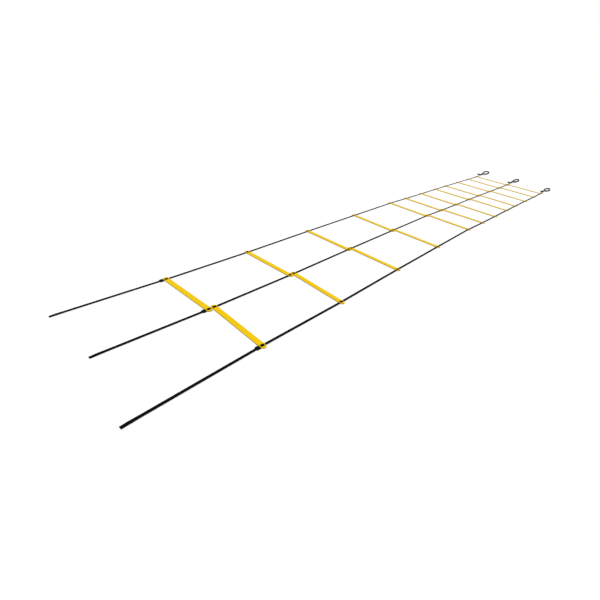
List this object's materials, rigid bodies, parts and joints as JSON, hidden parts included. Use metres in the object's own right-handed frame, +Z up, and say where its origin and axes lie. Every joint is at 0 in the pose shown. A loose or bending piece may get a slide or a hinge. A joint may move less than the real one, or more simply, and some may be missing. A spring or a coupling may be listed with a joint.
{
  "type": "agility ladder",
  "caption": "Flat agility ladder with side-by-side lanes: sliding yellow rungs threaded on parallel black webbing straps that end in loops.",
  "frame": {"origin": "centre of the laid-out ladder's box, on the floor", "axes": "+Y along the straps from their bare tails to their loops, +X across to the right lane, +Z up from the floor"},
  "size_m": [0.9671, 6.02, 0.0371],
  "materials": {
    "yellow_plastic": "smooth, satin",
    "black_plastic": "smooth, satin",
    "black_webbing": "woven"
  },
  "bodies": {
    "straps": {"left_strap": "black_webbing", "centre_strap": "black_webbing", "right_strap": "black_webbing"},
    "rung_01_left": {"rung_01_left": "yellow_plastic"},
    "rung_01_right": {"rung_01_right": "yellow_plastic"},
    "rung_02_left": {"rung_02_left": "yellow_plastic"},
    "rung_02_right": {"rung_02_right": "yellow_plastic"},
    "rung_03_left": {"rung_03_left": "yellow_plastic"},
    "rung_03_right": {"rung_03_right": "yellow_plastic"},
    "rung_04_left": {"rung_04_left": "yellow_plastic"},
    "rung_04_right": {"rung_04_right": "yellow_plastic"},
    "rung_05_left": {"rung_05_left": "yellow_plastic"},
    "rung_05_right": {"rung_05_right": "yellow_plastic"},
    "rung_06_left": {"rung_06_left": "yellow_plastic"},
    "rung_06_right": {"rung_06_right": "yellow_plastic"},
    "rung_07_left": {"rung_07_left": "yellow_plastic"},
    "rung_07_right": {"rung_07_right": "yellow_plastic"},
    "rung_08_left": {"rung_08_left": "yellow_plastic"},
    "rung_08_right": {"rung_08_right": "yellow_plastic"},
    "rung_09_left": {"rung_09_left": "yellow_plastic"},
    "rung_09_right": {"rung_09_right": "yellow_plastic"},
    "rung_10_left": {"rung_10_left": "yellow_plastic"},
    "rung_10_right": {"rung_10_right": "yellow_plastic"},
    "rung_11_left": {"rung_11_left": "yellow_plastic"},
    "rung_11_right": {"rung_11_right": "yellow_plastic"},
    "rung_12_left": {"rung_12_left": "yellow_plastic"},
    "rung_12_right": {"rung_12_right": "yellow_plastic"},
    "left_stop_slide": {"left_stop_slide": "black_plastic"},
    "centre_stop_slide": {"centre_stop_slide": "black_plastic"},
    "right_stop_slide": {"right_stop_slide": "black_plastic"},
    "left_loop_slide": {"left_loop_slide": "black_plastic"},
    "centre_loop_slide": {"centre_loop_slide": "black_plastic"},
    "right_loop_slide": {"right_loop_slide": "black_plastic"}
  },
  "joints": [
    {"name": "rung_01_left_slide", "type": "slide", "parent": "straps", "child": "rung_01_left", "axis": [0.0201, 0.9998, 0], "range_m": [-0.26, 0]},
    {"name": "rung_01_right_slide", "type": "slide", "parent": "straps", "child": "rung_01_right", "axis": [-0.0034, 1, 0], "range_m": [0, 0.578]},
    {"name": "rung_02_left_slide", "type": "slide", "parent": "straps", "child": "rung_02_left", "axis": [-0.0034, 1, 0], "range_m": [-0.578, 0]},
    {"name": "rung_02_right_slide", "type": "slide", "parent": "straps", "child": "rung_02_right", "axis": [-0.0213, 0.9998, 0], "range_m": [0, 0.59]},
    {"name": "rung_03_left_slide", "type": "slide", "parent": "straps", "child": "rung_03_left", "axis": [-0.0213, 0.9998, 0], "range_m": [-0.59, 0]},
    {"name": "rung_03_right_slide", "type": "slide", "parent": "straps", "child": "rung_03_right", "axis": [-0.0144, 0.9999, 0], "range_m": [0, 0.583]},
    {"name": "rung_04_left_slide", "type": "slide", "parent": "straps", "child": "rung_04_left", "axis": [-0.0144, 0.9999, 0], "range_m": [-0.583, 0]},
    {"name": "rung_04_right_slide", "type": "slide", "parent": "straps", "child": "rung_04_right", "axis": [-0.0125, 0.9999, 0], "range_m": [0, 0.584]},
    {"name": "rung_05_left_slide", "type": "slide", "parent": "straps", "child": "rung_05_left", "axis": [-0.0125, 0.9999, 0], "range_m": [-0.584, 0]},
    {"name": "rung_05_right_slide", "type": "slide", "parent": "straps", "child": "rung_05_right", "axis": [0.0287, 0.9996, 0], "range_m": [0, 0.237]},
    {"name": "rung_06_left_slide", "type": "slide", "parent": "straps", "child": "rung_06_left", "axis": [0.0287, 0.9996, 0], "range_m": [-0.237, 0]},
    {"name": "rung_06_right_slide", "type": "slide", "parent": "straps", "child": "rung_06_right", "axis": [0.0181, 0.9998, 0], "range_m": [0, 0.267]},
    {"name": "rung_07_left_slide", "type": "slide", "parent": "straps", "child": "rung_07_left", "axis": [0.0181, 0.9998, 0], "range_m": [-0.267, 0]},
    {"name": "rung_07_right_slide", "type": "slide", "parent": "straps", "child": "rung_07_right", "axis": [0.0114, 0.9999, 0], "range_m": [0, 0.274]},
    {"name": "rung_08_left_slide", "type": "slide", "parent": "straps", "child": "rung_08_left", "axis": [0.0114, 0.9999, 0], "range_m": [-0.274, 0]},
    {"name": "rung_08_right_slide", "type": "slide", "parent": "straps", "child": "rung_08_right", "axis": [0.016, 0.9999, 0], "range_m": [0, 0.205]},
    {"name": "rung_09_left_slide", "type": "slide", "parent": "straps", "child": "rung_09_left", "axis": [0.016, 0.9999, 0], "range_m": [-0.205, 0]},
    {"name": "rung_09_right_slide", "type": "slide", "parent": "straps", "child": "rung_09_right", "axis": [0.0221, 0.9998, 0], "range_m": [0, 0.263]},
    {"name": "rung_10_left_slide", "type": "slide", "parent": "straps", "child": "rung_10_left", "axis": [0.0221, 0.9998, 0], "range_m": [-0.263, 0]},
    {"name": "rung_10_right_slide", "type": "slide", "parent": "straps", "child": "rung_10_right", "axis": [0.0257, 0.9997, 0], "range_m": [0, 0.245]},
    {"name": "rung_11_left_slide", "type": "slide", "parent": "straps", "child": "rung_11_left", "axis": [0.0257, 0.9997, 0], "range_m": [-0.245, 0]},
    {"name": "rung_11_right_slide", "type": "slide", "parent": "straps", "child": "rung_11_right", "axis": [0.0132, 0.9999, 0], "range_m": [0, 0.208]},
    {"name": "rung_12_left_slide", "type": "slide", "parent": "straps", "child": "rung_12_left", "axis": [0.0132, 0.9999, 0], "range_m": [-0.208, 0]},
    {"name": "rung_12_right_slide", "type": "slide", "parent": "straps", "child": "rung_12_right", "axis": [0, 1, 0], "range_m": [0, 0.009]},
    {"name": "left_stop_slide_slide", "type": "slide", "parent": "rung_01_left", "child": "left_stop_slide", "axis": [0.0201, 0.9998, 0], "range_m": [-0.26, 0]},
    {"name": "centre_stop_slide_slide", "type": "slide", "parent": "rung_01_left", "child": "centre_stop_slide", "axis": [0.0201, 0.9998, 0], "range_m": [-0.26, 0]},
    {"name": "right_stop_slide_slide", "type": "slide", "parent": "straps", "child": "right_stop_slide", "axis": [-0.0251, 0.9997, 0], "range_m": [-0.6, 0]},
    {"name": "left_loop_slide_slide", "type": "slide", "parent": "straps", "child": "left_loop_slide", "axis": [0, 1, 0], "range_m": [-0.012, 0.02]},
    {"name": "centre_loop_slide_slide", "type": "slide", "parent": "straps", "child": "centre_loop_slide", "axis": [0, 1, 0], "range_m": [-0.012, 0.02]},
    {"name": "right_loop_slide_slide", "type": "slide", "parent": "straps", "child": "right_loop_slide", "axis": [0, 1, 0], "range_m": [-0.012, 0.02]}
  ]
}
